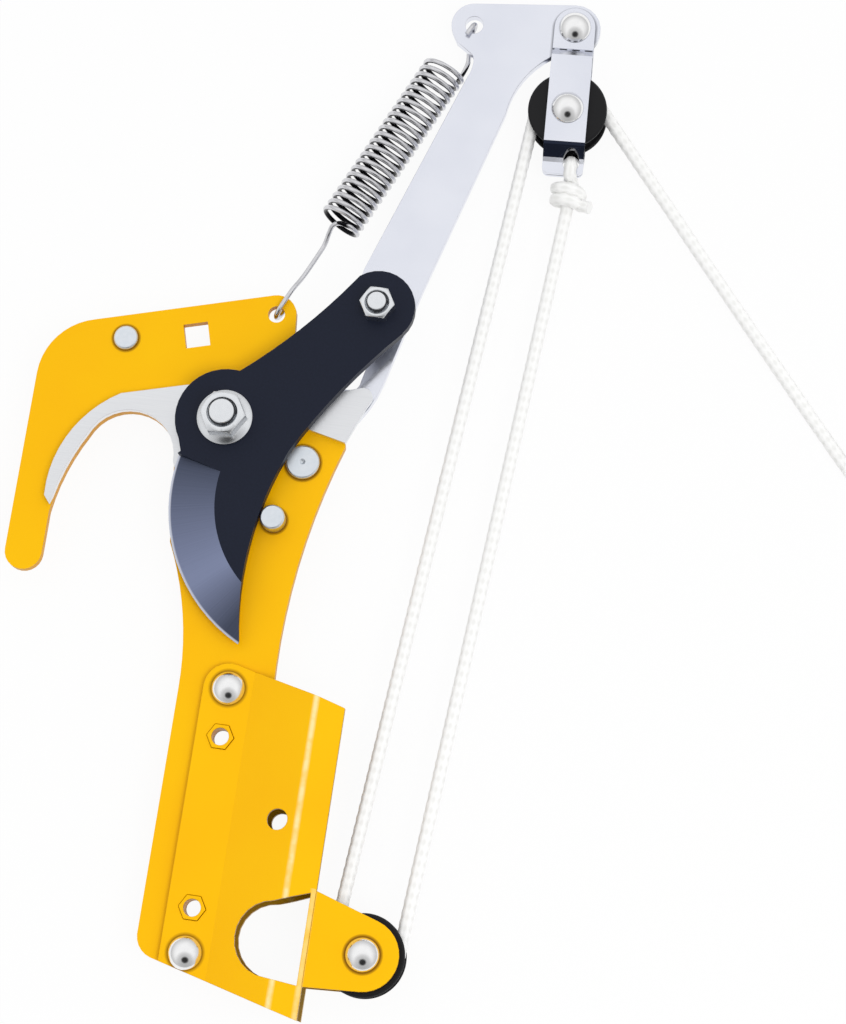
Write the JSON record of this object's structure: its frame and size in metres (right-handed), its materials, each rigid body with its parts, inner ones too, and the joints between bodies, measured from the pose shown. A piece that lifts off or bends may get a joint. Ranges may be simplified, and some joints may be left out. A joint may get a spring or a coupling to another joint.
{
  "type": "pole pruner head",
  "caption": "Rope-pulled pruner head: hooked plate with a counter blade, sprung bypass blade on a long lever, rope over a pulley block, and a sheet socket for a pole.",
  "frame": {"origin": "middle of the hole for the bolt through the pole, on the frame plate's mid-plane", "axes": "+Y along the pole towards the hook and lever end, +X to the lever's side, +Z out of the face that carries the blade"},
  "size_m": [0.3336, 0.3421, 0.0298],
  "materials": {
    "yellow_coat": "gloss powder coat",
    "counter_steel": "ground",
    "black_blade": "slick black coat with a ground bevel",
    "lever_steel": "zinc plated",
    "zinc_hardware": "bright zinc",
    "rivet_chrome": "polished",
    "spring_steel": "plated spring wire",
    "black_nylon": "moulded",
    "white_rope": "braided"
  },
  "bodies": {
    "frame": {"frame_plate": "yellow_coat", "counter_blade": "counter_steel", "counter_rivets": "counter_steel", "hook_rivet": "rivet_chrome", "guide_rivet": "rivet_chrome", "stop_pin": "rivet_chrome", "socket_front": "yellow_coat", "socket_back": "yellow_coat", "socket_rivets": "rivet_chrome", "clamp_nuts": "yellow_coat", "lower_axle": "rivet_chrome"},
    "blade": {"cutting_blade": "black_blade", "lever": "lever_steel", "pivot_bush": "zinc_hardware", "pivot_bolt": "zinc_hardware", "pivot_nut": "zinc_hardware", "arm_spacer": "zinc_hardware", "arm_bolt": "zinc_hardware", "arm_nut": "zinc_hardware"},
    "block": {"strap_front": "lever_steel", "strap_back": "lever_steel", "block_rivet": "rivet_chrome", "upper_axle": "rivet_chrome", "rope_becket": "white_rope", "rope_knot": "white_rope", "rope_run": "white_rope", "rope_tail": "white_rope", "rope_coil": "white_rope", "rope_tie": "white_rope", "rope_end": "white_rope"},
    "upper_wheel": {"upper_pulley": "black_nylon"},
    "lower_wheel": {"lower_pulley": "black_nylon"},
    "spring": {"return_spring": "spring_steel"},
    "spring_foot": {"spring_foot": "spring_steel"}
  },
  "joints": [
    {"name": "blade_swing", "type": "hinge", "parent": "frame", "child": "blade", "pos_m": [-0.037, 0.1245, 0], "axis": [0, 0, -1], "range_deg": [0, 60], "stiffness_Nm_per_rad": 1, "springref_deg": -28.65, "deforming": ["return_spring", "spring_foot", "rope_run"]},
    {"name": "block_swing", "type": "hinge", "parent": "blade", "child": "block", "pos_m": [0.05548, 0.27366, -0.0037], "axis": [0, 0, -1], "range_deg": [-35, 20], "deforming": ["rope_run"]},
    {"name": "upper_pulley_spin", "type": "hinge", "parent": "block", "child": "upper_wheel", "pos_m": [0.05701, 0.2444, -0.0037], "axis": [0, 0, 1], "continuous": true},
    {"name": "lower_pulley_spin", "type": "hinge", "parent": "frame", "child": "lower_wheel", "pos_m": [0.0325, -0.0373, 0], "axis": [0, 0, 1], "continuous": true},
    {"name": "spring_swing", "type": "hinge", "parent": "blade", "child": "spring", "pos_m": [0.02208, 0.27096, -0.0037], "axis": [0, 0, -1], "range_deg": [0, 13], "deforming": ["return_spring"]},
    {"name": "spring_stretch", "type": "slide", "parent": "spring", "child": "spring_foot", "axis": [-0.4121, -0.9106, 0.0311], "range_m": [0, 0.03], "deforming": ["return_spring", "spring_foot"]}
  ],
  "couplings": [
    {"joint": "block_swing", "follows": "blade_swing", "ratio": -0.5},
    {"joint": "spring_swing", "follows": "blade_swing", "ratio": 0.1978},
    {"joint": "spring_stretch", "follows": "blade_swing", "m_per_rad": 0.02691}
  ]
}
